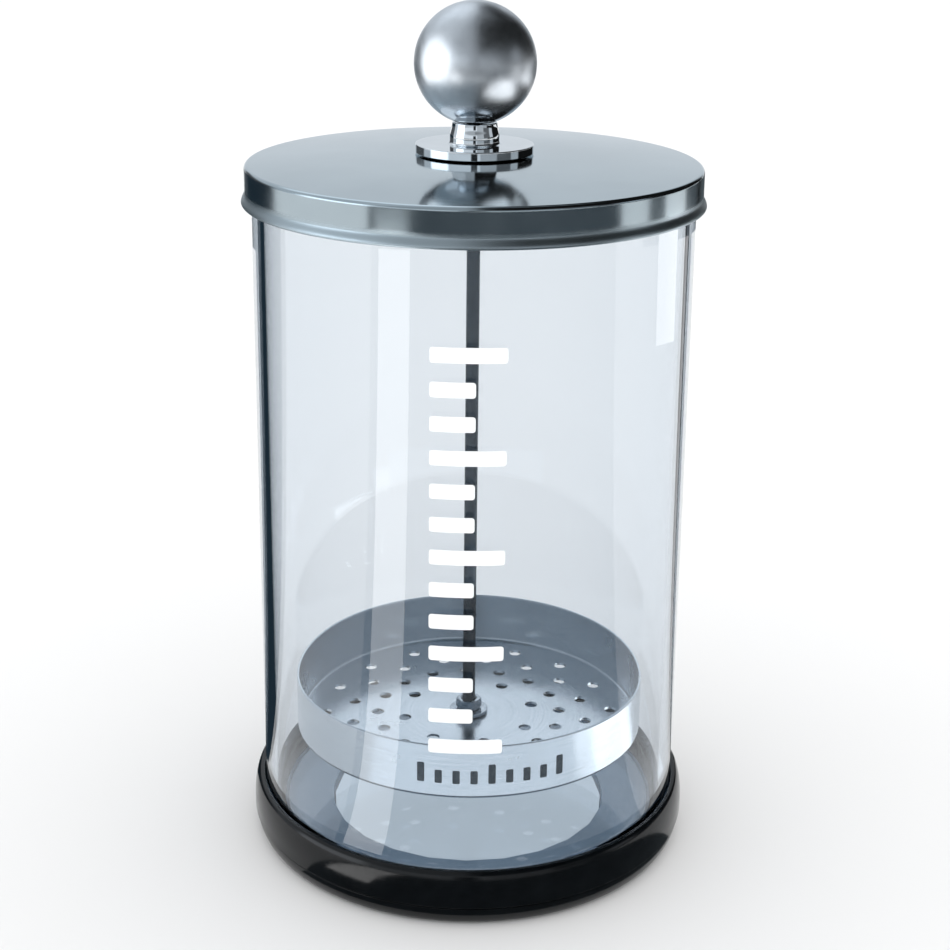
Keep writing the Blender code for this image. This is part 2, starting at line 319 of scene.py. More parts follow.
def dress(obj, shader, body, node=None):
    """Gives a piece its material, its body and, if it stands for a node, hides that node."""
    obj.data.materials.clear()
    obj.data.materials.append(shader.material)
    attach(obj, body)
    if node:
        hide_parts(node)
    return obj


# ---------------------------------------------------------------- materials

def polished_steel():
    """Pressed sheet, polished to a mirror: faint wipe marks and a few hair scratches."""
    steel = Shader("polished_steel", (0.52, 0.60, 0.64), 0.09, 1.0)
    steel.tint(steel.noise(22, 3), (0.39, 0.46, 0.50), (0.45, 0.525, 0.565))
    wiped = steel.noise(60, 5, steel.stretched((1.0, 0.25, 1.0)))
    skirt = steel.ranged(steel.radius(), 0.0, 1.0, LID_TOP_R - LID_EDGE_R, LID_TOP_R - 0.1 * MM)
    hem_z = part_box("lid")[0].z + LID_FLARE_H
    hem = steel.ranged(steel.along()[2], 0.20, 0.0, hem_z, hem_z + 1.2 * MM)
    rougher = steel.math("ADD", steel.math("MULTIPLY", skirt, 0.06), hem)
    steel.roughness(steel.math("ADD", steel.ranged(wiped, 0.055, 0.14), rougher))
    scratches = steel.noise(900, 2, steel.stretched((1.0, 0.04, 1.0)))
    steel.bump(steel.math("MULTIPLY", scratches, steel.math("SUBTRACT", 1.0, skirt)), 0.004 * MM, 0.25)
    steel.bump(steel.noise(14, 1), 0.12 * MM, 0.10)
    return steel


def satin_chrome():
    """Bead-blasted and plated ball, left bright round the neck."""
    satin = Shader("satin_chrome", (0.56, 0.60, 0.64), 0.42, 1.0)
    satin.tint(satin.noise(160, 5), (0.53, 0.57, 0.61), (0.60, 0.64, 0.68))
    seat_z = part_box("knob_ball")[0].z
    polished_z, satin_z = seat_z + 0.14 * BALL_R, seat_z + 0.42 * BALL_R
    blasted = satin.ranged(satin.along()[2], 0.26, 1.0, polished_z, satin_z)
    satin.roughness(satin.math("MULTIPLY", satin.ranged(satin.noise(420, 4), 0.31, 0.39), blasted))
    satin.bump(satin.noise(5200, 2), 0.006 * MM, 0.35)
    return satin


def bright_chrome():
    """Turned and plated neck, with faint lathe marks."""
    chrome = Shader("bright_chrome", (0.68, 0.72, 0.75), 0.04, 1.0)
    chrome.tint(chrome.noise(90, 3), (0.65, 0.69, 0.72), (0.72, 0.76, 0.79))
    chrome.roughness(chrome.ranged(chrome.noise(240, 4), 0.025, 0.07))
    chrome.bump(chrome.noise(1.0, 3, chrome.turned_place(2200, 2200)), 0.003 * MM, 0.2)
    return chrome


def brushed_steel():
    """Tray sheet, brushed round its axis."""
    brushed = Shader("brushed_steel", (0.58, 0.63, 0.68), 0.24, 1.0)
    lines = brushed.noise(1.0, 5, brushed.turned_place(2600, 2600, 60), 0.7)
    brushed.tint(lines, (0.53, 0.58, 0.63), (0.64, 0.69, 0.73))
    brushed.roughness(brushed.ranged(brushed.noise(70, 4), 0.17, 0.28))
    brushed.bump(lines, 0.006 * MM, 0.35)
    return brushed


def rod_steel():
    """Drawn bar, dark, with marks along its length."""
    bar = Shader("rod_steel", (0.045, 0.056, 0.068), 0.2, 1.0)
    drawn = bar.noise(1500, 3, bar.stretched((1.0, 1.0, 0.02)))
    bar.tint(drawn, (0.026, 0.036, 0.046), (0.060, 0.074, 0.088))
    bar.roughness(bar.ranged(bar.noise(240, 4), 0.14, 0.27))
    bar.bump(drawn, 0.005 * MM, 0.3)
    return bar


def fastener_steel():
    """Nuts and washers, with turning marks."""
    bolt = Shader("fastener_steel", (0.42, 0.46, 0.50), 0.2, 1.0)
    bolt.tint(bolt.noise(500, 4), (0.36, 0.40, 0.44), (0.50, 0.54, 0.58))
    bolt.roughness(bolt.ranged(bolt.noise(900, 4), 0.14, 0.28))
    bolt.bump(bolt.noise(1.0, 3, bolt.turned_place(6000, 3000)), 0.004 * MM, 0.3)
    return bolt


def clear_glass():
    """Pressed soda glass: slightly wavy, faintly blue through its thickness; shadow light passes it."""
    glass = Shader("clear_glass", (1.0, 1.0, 1.0), 0.0, 0.0, GLASS_IOR)
    glass.bsdf.inputs["Transmission Weight"].default_value = 1.0
    smears = glass.noise(26, 6, glass.stretched((1.0, 1.0, 0.3)), 0.6)
    glass.roughness(glass.ranged(smears, 0.0, 0.035, 0.45, 0.8))
    glass.bump(glass.noise(9, 2, glass.stretched((1.0, 1.0, 0.5))), 0.35 * MM, 0.06)
    nodes, links = glass.nodes, glass.links
    output = nodes["Material Output"]
    path = nodes.new("ShaderNodeLightPath")
    clear = nodes.new("ShaderNodeBsdfTransparent")
    clear.inputs["Color"].default_value = GLASS_SHADOW
    mix = nodes.new("ShaderNodeMixShader")
    links.new(path.outputs["Is Shadow Ray"], mix.inputs["Fac"])
    links.new(glass.bsdf.outputs[0], mix.inputs[1])
    links.new(clear.outputs[0], mix.inputs[2])
    links.new(mix.outputs[0], output.inputs["Surface"])
    absorption = nodes.new("ShaderNodeVolumeAbsorption")
    absorption.inputs["Color"].default_value = GLASS_TINT
    absorption.inputs["Density"].default_value = GLASS_DENSITY
    links.new(absorption.outputs[0], output.inputs["Volume"])
    return glass


def black_rubber():
    """Moulded ring, glossy from its mould, with fine pores; its seat under the glass is painted pale blue, as
    painted light that stands in for the light seen in the glass foot.
    """
    rubber = Shader("black_rubber", (0.004, 0.005, 0.007), 0.16, 0.0, RUBBER_IOR)
    rubber.bsdf.inputs["Specular IOR Level"].default_value = 0.32
    pores = rubber.noise(110, 6, rough=0.7)
    rubber.tint(pores, (0.0010, 0.0016, 0.0022), (0.0045, 0.0058, 0.0070), 0.35, 0.8)
    seat_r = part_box("glass_jar")[1].x - 2.0 * MM
    # Painted light: pale blue on the rubber seat under the glass, standing in for light seen through the
    # glass foot
    rubber.painted_light_inside(seat_r, (0.55, 0.74, 0.92))
    rubber.roughness(rubber.ranged(rubber.noise(320, 5, rough=0.7), 0.10, 0.22))
    rubber.bump(rubber.noise(2400, 3), 0.006 * MM, 0.25)
    rubber.bump(rubber.noise(60, 3), 0.10 * MM, 0.08)
    return rubber


def white_enamel():
    """Fired-on ink of the level bars."""
    ink = Shader("white_enamel", (0.93, 0.94, 0.95), 0.35, 0.0, INK_IOR)
    ink.tint(ink.noise(300, 4), (0.90, 0.92, 0.93), (0.96, 0.97, 0.97))
    ink.roughness(ink.ranged(ink.noise(800, 3), 0.28, 0.45))
    ink.bump(ink.noise(1800, 3), 0.006 * MM, 0.3)
    return ink


def etched_steel():
    """Chemically blackened marks on the tray."""
    etch = Shader("etched_steel", (0.05, 0.065, 0.08), 0.55, 0.4)
    etch.tint(etch.noise(900, 5, rough=0.7), (0.035, 0.05, 0.062), (0.075, 0.092, 0.11))
    etch.roughness(etch.ranged(etch.noise(1500, 4), 0.45, 0.68))
    etch.bump(etch.noise(4200, 2), 0.008 * MM, 0.4)
    return etch


# ---------------------------------------------------------------- pieces

def build_foot_ring():
    """Lip round the glass, swelling flank with a groove, and a seat that is open in the middle."""
    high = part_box("foot_ring")[1]
    inner_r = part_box("glass_jar")[1].x + RING_GAP
    heel_r = GLASS_HEEL_R + RING_GAP
    max_r = high.x
    lip_r, top_r = 0.45 * MM, inner_r + 1.1 * MM
    groove_r, groove_edge_r, groove_half = 0.22 * MM, 0.15 * MM, 0.45 * MM
    lower_z = GROOVE_Z - 0.55 * MM
    hole_edge_r, seat_edge_r = 0.5 * MM, 0.4 * MM
    profile = arc((inner_r + lip_r, high.z - lip_r), lip_r, 180, 90, 6)
    profile += oval((top_r, RING_WIDEST_Z), max_r - top_r, high.z - RING_WIDEST_Z, 88, 0, 26)
    profile += arc((max_r - groove_edge_r, GROOVE_Z + groove_half), groove_edge_r, 0, -60, 4)
    profile += arc((max_r - 0.85 * MM, GROOVE_Z), groove_r, 60, -60, 5)
    profile += arc((max_r - 0.65 * MM, GROOVE_Z - groove_half), groove_edge_r, 60, 0, 4)
    profile += oval((RING_FOOT_R, lower_z), max_r - 0.5 * MM - RING_FOOT_R, lower_z, -2, -90, 18)
    profile += arc((RING_OPEN_R + hole_edge_r, hole_edge_r), hole_edge_r, 270, 180, 5)
    profile += arc((RING_OPEN_R + seat_edge_r, RING_LIP_T - seat_edge_r), seat_edge_r, 180, 90, 4)
    profile += arc((inner_r - heel_r, RING_LIP_T + heel_r), heel_r, -90, 0, 10)
    ring = turned("foot_ring_moulded", profile, closed=True)
    return dress(ring, black_rubber(), "jar", "foot_ring")


def build_glass():
    """Straight tumbler with a round rim, a round heel and a heavy floor."""
    low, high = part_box("glass_jar")
    outer_r, rim_r = high.x, GLASS_WALL / 2
    inner_r = outer_r - GLASS_WALL
    floor_z = low.z + GLASS_BASE
    profile = [(0, floor_z), (inner_r * 0.5, floor_z)]
    profile += arc((inner_r - GLASS_WELL_R, floor_z + GLASS_WELL_R), GLASS_WELL_R, -90, 0, 14)
    profile += arc((outer_r - rim_r, high.z - rim_r), rim_r, 180, 0, 14)
    profile += arc((outer_r - GLASS_HEEL_R, low.z + GLASS_HEEL_R), GLASS_HEEL_R, 0, -90, 14)
    profile += [(inner_r * 0.5, low.z), (0, low.z)]
    return dress(turned("glass_tumbler", profile, 320), clear_glass(), "jar", "glass_jar")


def lid_top_z(radius, top_z):
    """Height of the crowned top at a radius."""
    flat_r = LID_TOP_R - LID_EDGE_R
    sphere_r = (flat_r ** 2 + LID_CROWN ** 2) / (2 * LID_CROWN)
    return top_z - sphere_r + math.sqrt(sphere_r ** 2 - radius ** 2)


def build_lid(steel):
    """Crowned top, rounded corner, skirt with a flared hem whose edge is rolled in."""
    low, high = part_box("lid")
    flat_r = LID_TOP_R - LID_EDGE_R
    edge_z = high.z - LID_CROWN
    hem_r = high.x
    profile = []
    for step in range(25):
        radius = BORE_R + (flat_r - BORE_R) * step / 24
        profile.append((radius, lid_top_z(radius, high.z)))
    profile += arc((flat_r, edge_z - LID_EDGE_R), LID_EDGE_R, 84, 0, 10)
    bead = LID_SHEET / 2
    flare_low = low.z + bead
    flare_high = low.z + LID_FLARE_H
    for step in range(1, 13):
        share = step / 12
        flare = (hem_r - LID_TOP_R) * (3 * share ** 2 - 2 * share ** 3)
        profile.append((LID_TOP_R + flare, flare_high - (flare_high - flare_low) * share))
    profile += arc((hem_r - bead, low.z + bead), bead, 0, -180, 8)
    inner_r = LID_TOP_R - LID_SHEET
    for step in range(1, 9):
        share = step / 8
        flare = (hem_r - LID_TOP_R) * (1 - 3 * share ** 2 + 2 * share ** 3)
        profile.append((inner_r + flare, flare_low + (flare_high - flare_low) * share))
    inner_corner = LID_EDGE_R - LID_SHEET
    profile += arc((flat_r, edge_z - LID_EDGE_R), inner_corner, 0, 84, 6)
    for step in range(24, -1, -1):
        radius = BORE_R + (flat_r - BORE_R) * step / 24
        profile.append((radius, lid_top_z(radius, high.z) - LID_SHEET))
    lid = turned("lid_pressed", profile, 320, closed=True)
    return dress(lid, steel, "lid_cover", "lid")


def build_collar():
    """Turned neck that swells downward onto a round flange."""
    low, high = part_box("knob_collar")
    flange_r, flange_top = high.x, low.z + FLANGE_T
    edge, under, blend, shoulder = 0.30 * MM, 0.12 * MM, 0.9 * MM, 0.35 * MM
    shoulder_z = high.z - shoulder
    profile = [(BORE_R, high.z), (NECK_TOP_R - 0.4 * MM, high.z)]
    profile += arc((NECK_TOP_R - shoulder, shoulder_z), shoulder, 80, 0, 5)
    waist_z = flange_top + 1.9 * MM
    for step in range(1, 9):
        share = step / 8
        swell = (NECK_FOOT_R - NECK_TOP_R) * (3 * share ** 2 - 2 * share ** 3)
        profile.append((NECK_TOP_R + swell, shoulder_z - (shoulder_z - waist_z) * share))
    profile += arc((NECK_FOOT_R + blend, flange_top + blend), blend, 180, 270, 8)
    profile += arc((flange_r - edge, flange_top - edge), edge, 90, 0, 5)
    profile += arc((flange_r - under, low.z + under), under, 0, -90, 5)
    profile.append((BORE_R, low.z))
    collar = turned("knob_collar_turned", profile, closed=True)
    return dress(collar, bright_chrome(), "carrier", "knob_collar")


def build_ball():
    """Ball cut flat where it sits on the neck, with a blind bore for the rod."""
    low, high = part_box("knob_ball")
    centre_z = high.z - BALL_R
    rod_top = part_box("rod")[1].z + 0.3 * MM
    seat = math.degrees(math.asin((low.z - centre_z) / BALL_R))
    profile = arc((0, centre_z), BALL_R, 90, seat, 72)
    profile += [(BORE_R, low.z), (BORE_R, rod_top), (0, rod_top)]
    ball = turned("knob_ball_satin", profile)
    return dress(ball, satin_chrome(), "carrier", "knob_ball")


def build_rod():
    """Plain shank with an M4 thread cut at both ends."""
    low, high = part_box("rod")
    radius = high.x
    lower_end, upper_end = low.z + 15.5 * MM, high.z - 36 * MM
    per_pitch = 10
    heights = []
    for start, end in ((low.z, lower_end), (upper_end, high.z)):
        rows = int((end - start) / THREAD_PITCH * per_pitch)
        heights += [start + (end - start) * row / rows for row in range(rows + 1)]

    def surface(angle):
        points = [(0, low.z)]
        for height in heights:
            phase = (height / THREAD_PITCH - angle / math.tau) % 1.0
            cut = max(0.0, abs(2 * phase - 1) * 1.25 - 0.125)
            taper = min(1.0, abs(height - lower_end) / MM, abs(height - upper_end) / MM)
            chamfer = max(0.0, 0.4 * MM - (height - low.z), 0.4 * MM - (high.z - height))
            points.append((radius - max(THREAD_DEPTH * min(cut, 1.0) * taper, chamfer), height))
        return points + [(0, high.z)]

    rod = revolved("rod_threaded", surface, 48, sharp=60)
    return dress(rod, rod_steel(), "carrier", "rod")


def build_nut(node, bolt, domed=False):
    """Hexagon nut with turned chamfers, or a cap nut with its dome below."""
    low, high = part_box(node)
    bottom = high.z - NUT_HEIGHT
    flat = NUT_FLATS / 2
    face_r, chamfer_r = flat * 0.94, flat * 0.985
    lead_in = 0.35 * MM
    slope = math.tan(math.radians(30))

    def surface(angle):
        off = (angle + math.pi / 6) % (math.pi / 3) - math.pi / 6
        corner = flat / math.cos(off)
        drop = (corner - chamfer_r) * slope
        points = [(BORE_R, high.z - lead_in), (BORE_R + lead_in, high.z), (face_r, high.z),
                  (chamfer_r, high.z), (corner, high.z - drop), (corner, bottom + drop),
                  (chamfer_r, bottom), (face_r, bottom)]
        if domed:
            bore_z = high.z - CAP_BORE_DEPTH
            dome = arc((0, low.z + CAP_DOME_R), CAP_DOME_R, 0, -90, 16)
            return [(0, bore_z), (BORE_R, bore_z)] + points + dome
        return points + [(BORE_R + lead_in, bottom), (BORE_R, bottom + lead_in)]

    nut = revolved(node + "_fine", surface, SMALL_SIDES, closed=not domed, sharp=20)
    return dress(nut, bolt, "carrier", node)


def build_washer(node, bolt):
    """Flat washer with tumbled edges."""
    low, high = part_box(node)
    outer_r, edge = high.x, 0.18 * MM
    profile = arc((BORE_R + edge, high.z - edge), edge, 180, 90, 4)
    profile += arc((outer_r - edge, high.z - edge), edge, 90, 0, 4)
    profile += arc((outer_r - edge, low.z + edge), edge, 0, -90, 4)
    profile += arc((BORE_R + edge, low.z + edge), edge, -90, -180, 4)
    washer = turned(node + "_fine", profile, SMALL_SIDES, closed=True)
    return dress(washer, bolt, "carrier", node)


def build_tray(brushed):
    """Drawn sheet with a rounded corner and a folded rim, punched with rings of drain holes."""
    low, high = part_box("tray")
    outer_r = high.x
    floor_z = low.z + TRAY_SHEET
    rim = TRAY_SHEET / 2
    inner_corner = TRAY_CORNER_R - TRAY_SHEET
    profile = arc((outer_r - rim, high.z - rim), rim, 180, 0, 8)
    profile += arc((outer_r - TRAY_CORNER_R, low.z + TRAY_CORNER_R), TRAY_CORNER_R, 0, -90, 12)
    profile += [(BORE_R, low.z), (BORE_R, floor_z)]
    profile += arc((outer_r - TRAY_CORNER_R, floor_z + inner_corner), inner_corner, -90, 0, 8)
    tray = turned("tray_drawn", profile, closed=True, sharp=40)
    bm = bmesh.new()
    for radius, count, turn in HOLE_RINGS:
        for index in range(count):
            angle = HOLE_TURN + math.tau * index / count + turn * math.tau / 16
            punch = bmesh.ops.create_cone(bm, cap_ends=True, segments=32, radius1=HOLE_R, radius2=HOLE_R,
                                          depth=4 * TRAY_SHEET)
            place = (radius * math.cos(angle), radius * math.sin(angle), floor_z - TRAY_SHEET / 2)
            bmesh.ops.translate(bm, verts=punch["verts"], vec=place)
    punches = add_mesh("tray_punches", bm)
    step = tray.modifiers.new("Drain holes", "BOOLEAN")
    step.operation = "DIFFERENCE"
    step.object = punches
    bpy.context.view_layer.update()
    cut = bpy.data.meshes.new_from_object(tray.evaluated_get(bpy.context.evaluated_depsgraph_get()))
    tray.modifiers.clear()
    cut.shade_smooth()
    cut.set_sharp_from_angle(angle=math.radians(25))
    tray.data = cut
    bpy.data.objects.remove(punches)
    return dress(tray, brushed, "carrier", "tray")


def build_level_bars():
    """Graduated column of white bars printed on the front of the glass: every third bar is long."""
    glass_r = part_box("glass_jar")[1].x
    bm = bmesh.new()
    bar_h, pitch, count = 4.4 * MM, 9.6 * MM, 13
    long_w, short_w, corner = 21.0 * MM, 12.5 * MM, 0.8 * MM
    left, lowest_z, lift = -11.0 * MM, 57 * MM, 0.02 * MM
    for index in range(count):
        width = long_w if index % 3 == 0 else short_w
        middle = left + width / 2
        wall_patch(bm, glass_r + lift, PRINT_T, middle / glass_r, lowest_z + pitch * index,
                   width / 2, bar_h / 2, corner)
    return dress(add_mesh("level_bars_print", bm, 50), white_enamel(), "jar")


def build_tray_marks():
    """Row of short dark bars etched into the tray's front: every fourth bar is tall."""
    low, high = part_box("tray")
    outer_r = high.x
    bm = bmesh.new()
    half_w, tall_h, short_h, corner = 1.05 * MM, 3.1 * MM, 2.1 * MM, 0.35 * MM
    foot_z, lift = low.z + 5.3 * MM, 0.01 * MM
    first, pitch, count = -14, 5.4, 9
    for index in range(count):
        half_h = tall_h if index % 4 == 0 else short_h
        angle = math.radians(first + pitch * index)
        wall_patch(bm, outer_r + lift, ETCH_T, angle, foot_z + half_h, half_w, half_h, corner)
    return dress(add_mesh("tray_marks_etched", bm, 50), etched_steel(), "carrier")


# ---------------------------------------------------------------- studio

# Light that a card answers, by its path so far; other light passes through the card
KEPT_IN_GLASS_WALL = ("Transmission Depth", "LESS_THAN", 2.5)
MIRRORED_INSIDE_JAR = ("Ray Depth", "GREATER_THAN", 4.5)

FLOOR_HALF_SIZE = 6.0
FLOOR_Z = -0.2 * MM
CARD_Z = 0.6 * MM
WHITE = (1, 1, 1)

# What the camera sees of the sky, and what lights the floor
SEEN_SKY = (1.03, 1.03, 1.03)
DIFFUSE_SKY = (1.34, 1.34, 1.34)
BLACK_SKY, DARK_SKY = 0.010, 0.02


def glow(name, colour, strength, answers=None):
    """Material of a card: it only shines, and may answer only some light."""
    material = bpy.data.materials.new(name)
    material.use_nodes = True
    nodes = material.node_tree.nodes
    links = material.node_tree.links
    nodes.remove(nodes["Principled BSDF"])
    emission = nodes.new("ShaderNodeEmission")
    emission.inputs["Color"].default_value = (*colour, 1.0)
    emission.inputs["Strength"].default_value = strength
    shader = emission.outputs[0]
    if answers:
        depth, operation, limit = answers
        test = nodes.new("ShaderNodeMath")
        test.operation = operation
        links.new(nodes.new("ShaderNodeLightPath").outputs[depth], test.inputs[0])
        test.inputs[1].default_value = limit
        mix = nodes.new("ShaderNodeMixShader")
        links.new(test.outputs[0], mix.inputs["Fac"])
        links.new(nodes.new("ShaderNodeBsdfTransparent").outputs[0], mix.inputs[1])
        links.new(shader, mix.inputs[2])
        shader = mix.outputs[0]
    links.new(shader, nodes["Material Output"].inputs["Surface"])
    return material


def only_seen_by(card, glossy=True, transmission=True):
    """Hides a card from the camera, from diffuse light and from shadows; glossy and transmission light see it
    as asked.
    """
    card.visible_camera = False
    card.visible_diffuse = False
    card.visible_shadow = False
    card.visible_glossy = glossy
    card.visible_transmission = transmission
    card.visible_volume_scatter = False


def floor_sector(name, azimuths, radii, material, height=CARD_Z, origin=(0.0, 0.0), **seen):
    """A flat card on the floor, between two azimuths (degrees to the right of -Y) and two radii."""
    bm = bmesh.new()
    steps = 24
    rings = []
    for radius in radii:
        ring = []
        for step in range(steps + 1):
            angle = math.radians(azimuths[0] + (azimuths[1] - azimuths[0]) * step / steps)
            place = (origin[0] + radius * math.sin(angle), origin[1] - radius * math.cos(angle), height)
            ring.append(bm.verts.new(place))
        rings.append(ring)
    for step in range(steps):
        bm.faces.new((rings[0][step], rings[0][step + 1], rings[1][step + 1], rings[1][step]))
    card = add_mesh(name, bm)
    card.data.materials.append(material)
    only_seen_by(card, **seen)
    return card


def build_floor():
    """Plain pale floor."""
    bm = bmesh.new()
    bmesh.ops.create_grid(bm, x_segments=8, y_segments=8, size=FLOOR_HALF_SIZE)
    floor = add_mesh("studio_floor", bm)
    floor.location.z = FLOOR_Z
    pale = Shader("pale_floor", (0.80, 0.80, 0.80), 0.9)
    pale.bsdf.inputs["Specular IOR Level"].default_value = 0.0
    pale.tint(pale.noise(3, 2), (0.80, 0.80, 0.80), (0.815, 0.815, 0.815))
    floor.data.materials.append(pale.material)


class Sky:
    """World light by direction. Azimuth is in degrees to the right of -Y, as seen from above."""

    def __init__(self):
        world = bpy.data.worlds.new("studio")
        world.use_nodes = True
        bpy.context.scene.world = world
        self.nodes = world.node_tree.nodes
        self.links = world.node_tree.links
        self.direction = self.nodes.new("ShaderNodeTexCoord").outputs["Generated"]
        parts = self.nodes.new("ShaderNodeSeparateXYZ")
        self.links.new(self.direction, parts.inputs[0])
        self.height = parts.outputs[2]
        flat = self.nodes.new("ShaderNodeVectorMath")
        flat.operation = "MULTIPLY"
        self.links.new(self.direction, flat.inputs[0])
        flat.inputs[1].default_value = (1, 1, 0)
        level = self.nodes.new("ShaderNodeVectorMath")
        level.operation = "NORMALIZE"
        self.links.new(flat.outputs[0], level.inputs[0])
        self.level = level.outputs[0]

    def smooth(self, value, low, high):
        """0 to 1 as a value goes from low to high."""
        node = self.nodes.new("ShaderNodeMapRange")
        node.interpolation_type = "SMOOTHSTEP"
        self.links.new(value, node.inputs["Value"])
        node.inputs["From Min"].default_value = low
        node.inputs["From Max"].default_value = high
        return node.outputs["Result"]

    def times(self, a, b):
        node = self.nodes.new("ShaderNodeMath")
        node.operation = "MULTIPLY"
        self.links.new(a, node.inputs[0])
        self.links.new(b, node.inputs[1])
        return node.outputs[0]

    def toward(self, vector, source):
        """Cosine of the angle between a direction and a vector."""
        node = self.nodes.new("ShaderNodeVectorMath")
        node.operation = "DOT_PRODUCT"
        self.links.new(source, node.inputs[0])
        node.inputs[1].default_value = vector
        return node.outputs["Value"]

    def kept_in_glass_wall(self):
        """1 for light that went into the glass wall and out again on the same side."""
        depth, operation, limit = KEPT_IN_GLASS_WALL
        test = self.nodes.new("ShaderNodeMath")
        test.operation = operation
        self.links.new(self.nodes.new("ShaderNodeLightPath").outputs[depth], test.inputs[0])
        test.inputs[1].default_value = limit
        return test.outputs[0]

    def patch(self, base, colour, azimuth, half_width, low, high, soft=4, only=None):
        """base with a colour over a band of azimuths and elevations, in degrees."""
        sines = [math.sin(math.radians(angle)) for angle in (low - soft / 2, low + soft / 2)]
        mask = self.smooth(self.height, *sines)
        if half_width < 180:
            turn = math.radians(azimuth)
            facing = self.toward((math.sin(turn), -math.cos(turn), 0), self.level)
            edge_out = math.cos(math.radians(half_width + soft / 2))
            edge_in = math.cos(math.radians(max(half_width - soft / 2, 0)))
            mask = self.times(mask, self.smooth(facing, edge_out, edge_in))
        if only:
            mask = self.times(mask, only)
        if high + soft / 2 < 90:
            sines = [math.sin(math.radians(angle)) for angle in (high + soft / 2, high - soft / 2)]
            mask = self.times(mask, self.smooth(self.height, *sines))
        return self.over(base, colour, mask)

    def over(self, base, colour, mask):
        """base, with a colour where the mask is 1."""
        node = self.nodes.new("ShaderNodeMix")
        node.data_type = "RGBA"
        self.links.new(mask, node.inputs["Factor"])
        for socket, value in ((node.inputs[MIX_A], base), (node.inputs[MIX_B], colour)):
            if isinstance(value, bpy.types.NodeSocket):
                self.links.new(value, socket)
            else:
                socket.default_value = (*value, 1.0)
        return node.outputs[MIX_RESULT]

    def finish(self, seen, diffuse, glossy, transmission):
        """Gives each kind of light its own sky."""
        path = self.nodes.new("ShaderNodeLightPath")
        colour = self.over(glossy, transmission, path.outputs["Is Transmission Ray"])
        colour = self.over(colour, diffuse, path.outputs["Is Diffuse Ray"])
        colour = self.over(colour, seen, path.outputs["Is Camera Ray"])
        self.links.new(colour, self.nodes["Background"].inputs["Color"])


def grey(level, blue=1.06):
    """Grey that leans to blue."""
    return (level / blue, level, level * blue)


def build_sky():
    """Two skies: one for reflections, and one seen through glass. Later patches lie over earlier ones.

    Each patch: brightness, lean to blue, middle azimuth, half width, lowest and highest elevation, soft edge.
    """
    sky = Sky()
    reflected = grey(0.50)
    for level, blue, azimuth, half_width, low, high, soft in (
            (0.72, 1.06, -115, 65, -20, 90, 16),      # whole left side
            (BLACK_SKY, 1.0, 122, 60, -8, 90, 8),     # right side: dark down to the horizon
            (BLACK_SKY, 1.0, 90, 88, 20, 90, 8),      # right side, higher: the ball's dark quarter
            (0.22, 1.06, 152, 32, 60, 90, 12),        # keeps the lid grey when seen from above
            (0.80, 1.06, 180, 26, -20, 32, 10),       # behind: seen in the lid's top
            (1.30, 1.06, -152, 30, 34, 72, 6),        # behind, high: seen in the lid's round edge
            (0.95, 1.06, -36, 48, 3, 17, 3),          # low in front, in three steps to the right
            (0.55, 1.06, 28, 16, 3, 17, 3),
            (0.15, 1.06, 62, 18, 3, 17, 3),
            (0.03, 1.06, 0, 6, -20, 15, 2),           # narrow dark strip in front
            (2.4, 1.06, -72, 20, -8, 20, 8),          # brightest part, at the left
            (0.65, 1.06, 84, 9, 3, 18, 4),            # small light at the right
            (0.10, 1.06, -134, 20, -10, 14, 6)):      # dark part at the left, towards the back
        reflected = sky.patch(reflected, grey(level, blue), azimuth, half_width, low, high, soft)
    in_wall = sky.kept_in_glass_wall()
    through = grey(0.46, 1.10)
    for level, blue, azimuth, half_width, low, high, soft, only in (
            (1.38, 1.03, 180, 40, 14, 60, 8, None),            # mirrored in the tray's floor
            (1.05, 1.01, 0, 180, -40, 13, 8, None),            # round the horizon: behind the glass
            (DARK_SKY, 1.06, -131, 20, -20, 13, 1, in_wall),   # dark line at the left edge of the glass
            (DARK_SKY, 1.06, 147, 3, -20, 13, 1, in_wall)):    # and at its right edge
        through = sky.patch(through, grey(level, blue), azimuth, half_width, low, high, soft, only)
    sky.finish(SEEN_SKY, DIFFUSE_SKY, reflected, through)


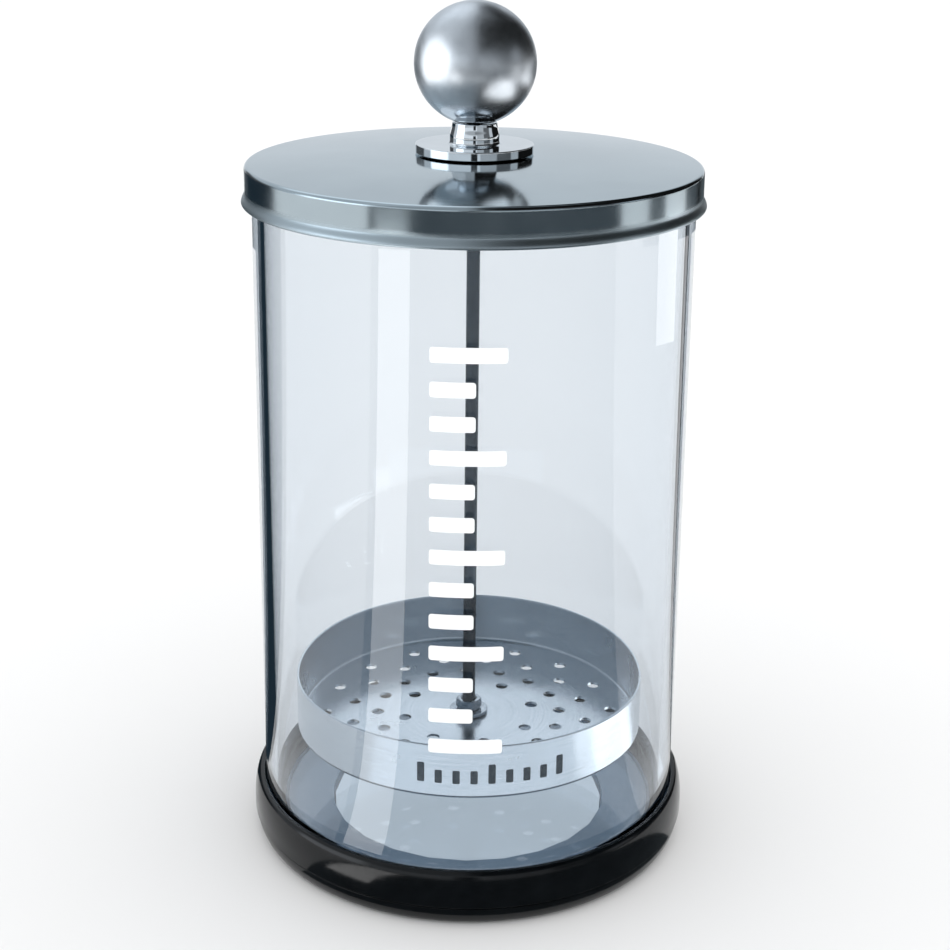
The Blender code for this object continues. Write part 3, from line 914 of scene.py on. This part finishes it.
def build_cards():
    """Cards on the floor. Azimuths in degrees, radii in metres; the higher card hides the lower."""
    black = glow("black_card", (0, 0, 0), 0.0, KEPT_IN_GLASS_WALL)
    slate = glow("slate_card", (0.85, 1.0, 1.12), 0.10)
    window = glow("window_card", WHITE, 2.4)
    far_window = glow("far_window_card", WHITE, 1.0)
    strip = glow("strip_card", WHITE, 3.2)
    side = glow("side_card", WHITE, 3.0, MIRRORED_INSIDE_JAR)
    turn = glow("turn_card", WHITE, 2.1, MIRRORED_INSIDE_JAR)
    front = glow("front_card", (0.97, 1.0, 1.03), 1.38, MIRRORED_INSIDE_JAR)
    under = glow("under_card", (0.90, 0.96, 1.0), 0.85)
    seat = glow("seat_card", (0.78, 1.0, 1.24), 0.24)
    navy = glow("navy_card", (0.55, 1.0, 1.4), 0.03, KEPT_IN_GLASS_WALL)

    # Dark flags keep the white floor out of the reflections in glass and skirt
    floor_sector("front_flag", (-50, 74), (0.070, 2.8), slate, transmission=False)
    floor_sector("left_back_flag", (-160, -112), (0.85, 2.8), slate, transmission=False)
    floor_sector("right_back_flag", (92, 165), (0.93, 2.8), slate, transmission=False)

    # White marks on the glass: a long strip at the left, a window at the upper right
    left, right = (-0.060, 0.012), (0.060, 0.012)
    strip_z, window_z, line_z = 1.2 * MM, 1.8 * MM, 2.4 * MM
    floor_sector("glass_strip", (-46, -30), (0.085, 0.94), strip, strip_z, transmission=False)
    floor_sector("window", (105, 126), (0.57, 0.94), window, window_z, right, transmission=False)
    floor_sector("far_window", (105, 126), (0.94, 2.7), far_window, strip_z, right, transmission=False)

    # Dark lines at both edges of the glass
    floor_sector("left_edge_band", (-151, -112), (0.02, 8.0), navy, line_z, left)
    floor_sector("right_edge_line", (143, 151), (0.02, 8.0), black, line_z, right)

    # Faint light under the glass foot, and bright light on the tray's wall
    seat_z = RING_LIP_T + 0.15 * MM
    floor_sector("seat_glow", (-180, 180), (0.0438, 0.0610), seat, seat_z, glossy=False)
    floor_sector("under_glow", (-180, 180), (0.0, 0.0432), under, glossy=False)
    floor_sector("tray_glow", (70, 106), (0.078, 0.19), side, glossy=False)
    floor_sector("tray_turn", (58, 70), (0.078, 0.22), turn, glossy=False)
    floor_sector("tray_front", (-50, 58), (0.078, 0.24), front, glossy=False)


def build_ball_lamps():
    """Soft lamps that light the ball only: key at the left, small kicker low at the right, fill below."""
    ball = bpy.data.objects["knob_ball_satin"]
    lit = bpy.data.collections.new("lit_by_ball_lamps")
    lit.objects.link(ball)
    low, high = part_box("knob_ball")
    centre = (low + high) / 2
    # Name, direction from the ball's centre, distance, diameter, power
    for name, away, distance, size, watts in (
            ("ball_key", (-0.99, -0.12, 0.0), 0.50, 0.68, 1.60),
            ("ball_kicker", (0.55, -0.51, -0.66), 0.0375, 0.032, 0.0044),
            ("ball_fill", (-0.02, -0.50, -0.86), 0.15, 0.28, 0.155)):
        away = Vector(away).normalized()
        lamp = bpy.data.lights.new(name, "AREA")
        lamp.shape = "DISK"
        lamp.size = size
        lamp.energy = watts
        holder = bpy.data.objects.new(name, lamp)
        bpy.context.scene.collection.objects.link(holder)
        holder.location = centre + away * distance
        holder.rotation_mode = "QUATERNION"
        holder.rotation_quaternion = away.to_track_quat("Z", "Y")
        holder.visible_camera = False
        holder.visible_transmission = False
        holder.light_linking.receiver_collection = lit
        holder.light_linking.blocker_collection = lit


def build_camera():
    """The photo's viewing angle; the small shift only frames the jar."""
    data = bpy.data.cameras.new("photo_view")
    data.sensor_width = 36.0
    data.lens = 68.0
    data.shift_y = -0.08
    data.clip_start = 0.02
    data.clip_end = 50
    camera = bpy.data.objects.new("photo_view", data)
    bpy.context.scene.collection.objects.link(camera)
    camera.location = (0.0033, -0.520, 0.3036)
    pitch, yaw, roll = (math.radians(angle) for angle in (17.48, -0.26, 0.63))
    level = math.cos(pitch)
    forward = Vector((math.sin(yaw) * level, math.cos(yaw) * level, -math.sin(pitch)))
    camera.rotation_mode = "QUATERNION"
    camera.rotation_quaternion = forward.to_track_quat("-Z", "Y") @ Quaternion((0, 0, 1), roll)
    bpy.context.scene.camera = camera


bpy.context.scene.view_settings.view_transform = "Standard"
build_foot_ring()
build_glass()
build_lid(polished_steel())
build_collar()
build_ball()
build_rod()
bolt = fastener_steel()
for node in ("lid_washer", "tray_top_washer", "tray_bottom_washer"):
    build_washer(node, bolt)
for node in ("lid_nut", "tray_top_nut"):
    build_nut(node, bolt)
build_nut("tray_cap_nut", bolt, domed=True)
build_tray(brushed_steel())
build_level_bars()
build_tray_marks()
build_floor()
build_sky()
build_cards()
build_ball_lamps()
build_camera()
